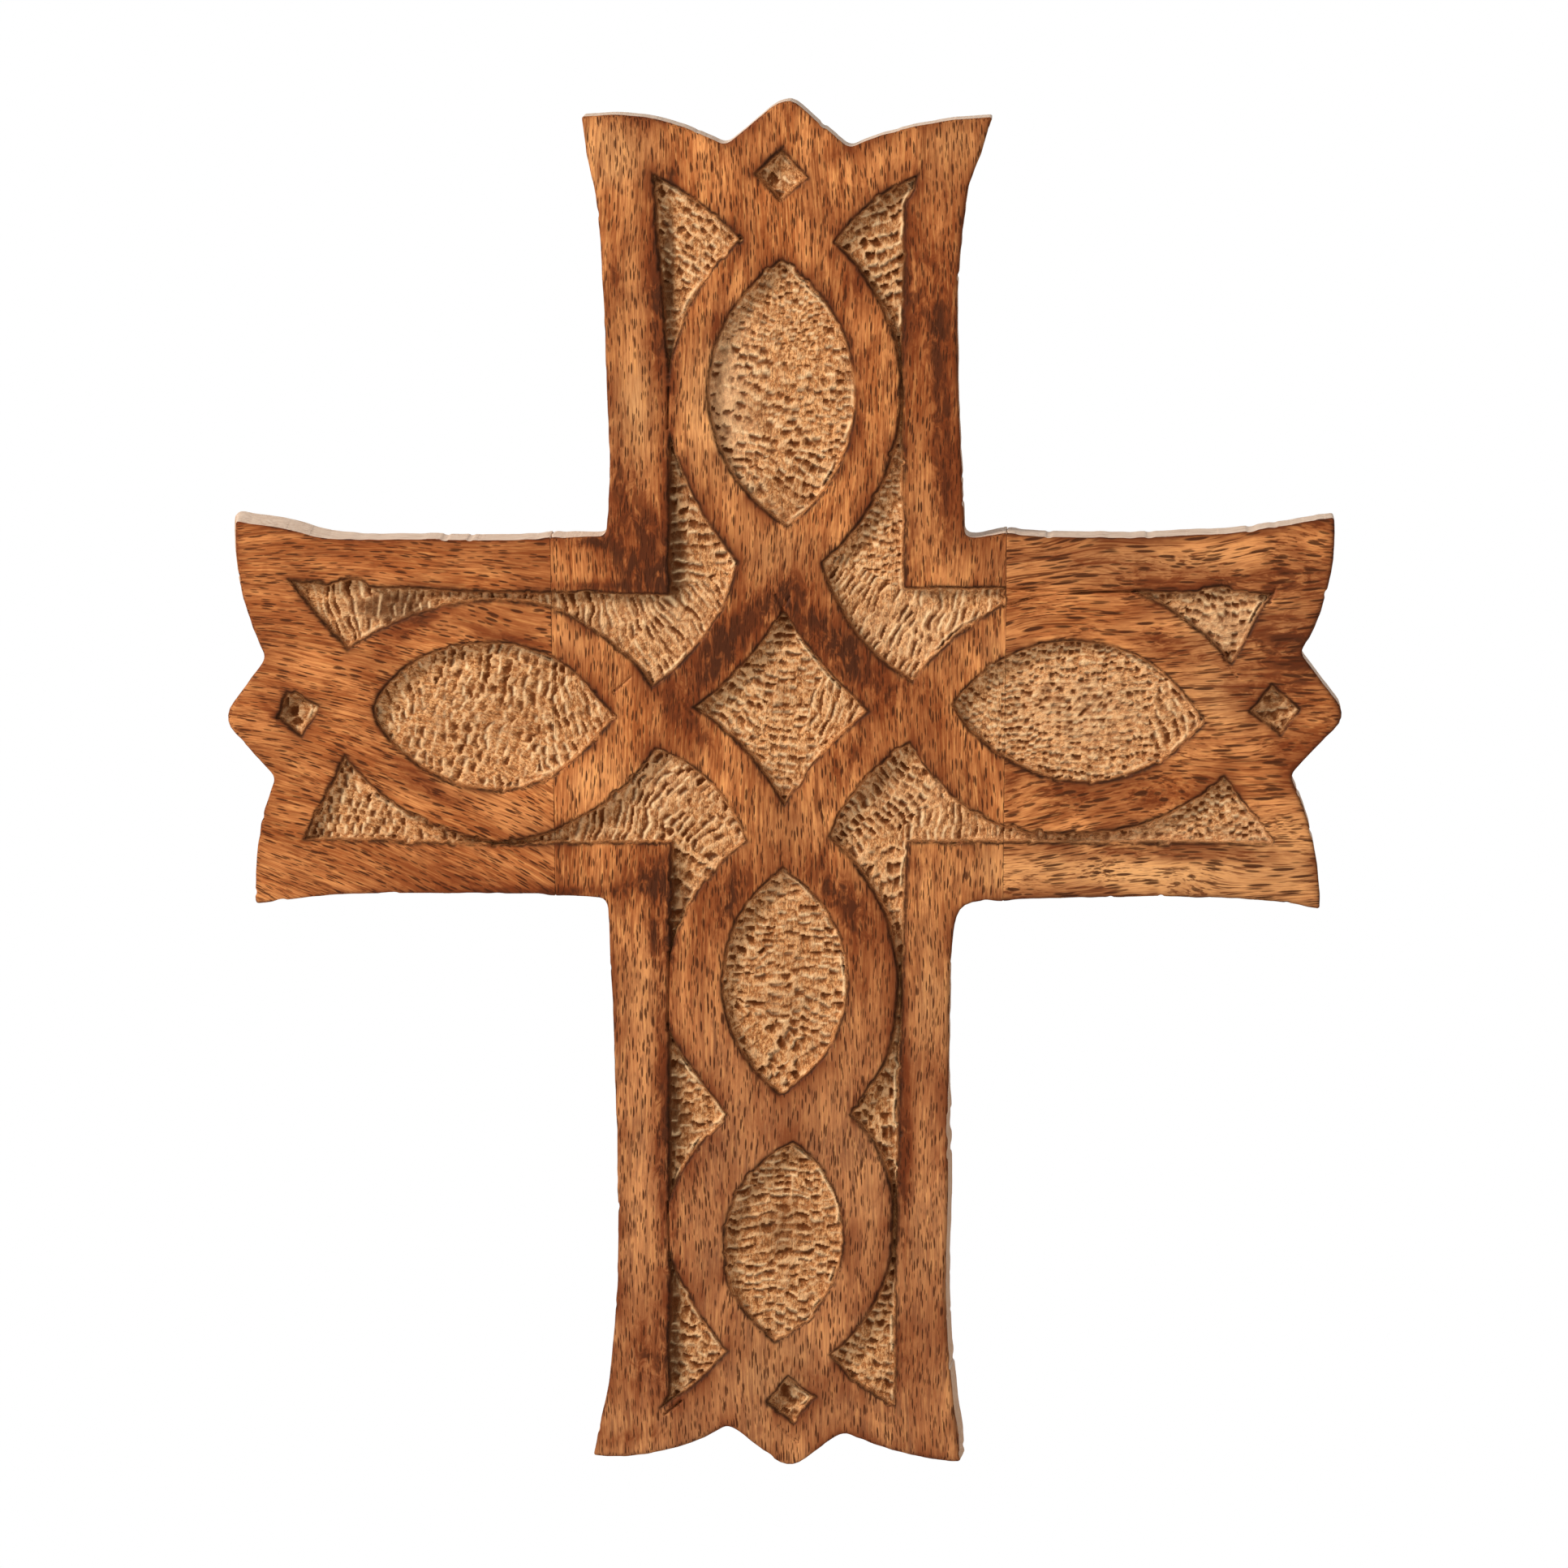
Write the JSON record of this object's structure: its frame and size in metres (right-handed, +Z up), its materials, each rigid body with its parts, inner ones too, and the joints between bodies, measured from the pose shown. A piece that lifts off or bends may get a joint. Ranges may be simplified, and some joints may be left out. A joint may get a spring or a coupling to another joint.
{
  "type": "wall cross",
  "caption": "Carved wooden wall cross with flared, scalloped arm ends, interlaced ring carving sunk into the front, and a swinging wire ring hanger let into the flat back.",
  "frame": {"origin": "the flat back face, behind the middle of the crossing", "axes": "+Z up along the long arm, +X to the viewer's right when the carved front is seen, +Y out of the flat back towards the wall, so the carved front faces -Y"},
  "size_m": [0.2481, 0.019, 0.305],
  "materials": {
    "mango_wood": "satin, oiled and shaded dark along the edges",
    "mango_wood_left": "satin, oiled, grain running across",
    "mango_wood_right": "satin, oiled, wavy grain running across",
    "beech_dowel": "raw",
    "zinc_strap": "zinc plated",
    "wire_steel": "bright drawn wire",
    "screw_steel": "yellow zinc plated"
  },
  "bodies": {
    "cross": {"centre_board": "mango_wood", "left_arm": "mango_wood_left", "right_arm": "mango_wood_right", "dowel_left_upper": "beech_dowel", "dowel_left_lower": "beech_dowel", "dowel_right_upper": "beech_dowel", "dowel_right_lower": "beech_dowel", "hanger_strap": "zinc_strap", "hanger_screw_upper": "screw_steel", "hanger_screw_lower": "screw_steel"},
    "ring": {"hanger_ring": "wire_steel"}
  },
  "joints": [
    {"name": "ring_swing", "type": "hinge", "parent": "cross", "child": "ring", "pos_m": [0, -0.00275, 0.098], "axis": [1, 0, 0], "range_deg": [0, 180]}
  ]
}
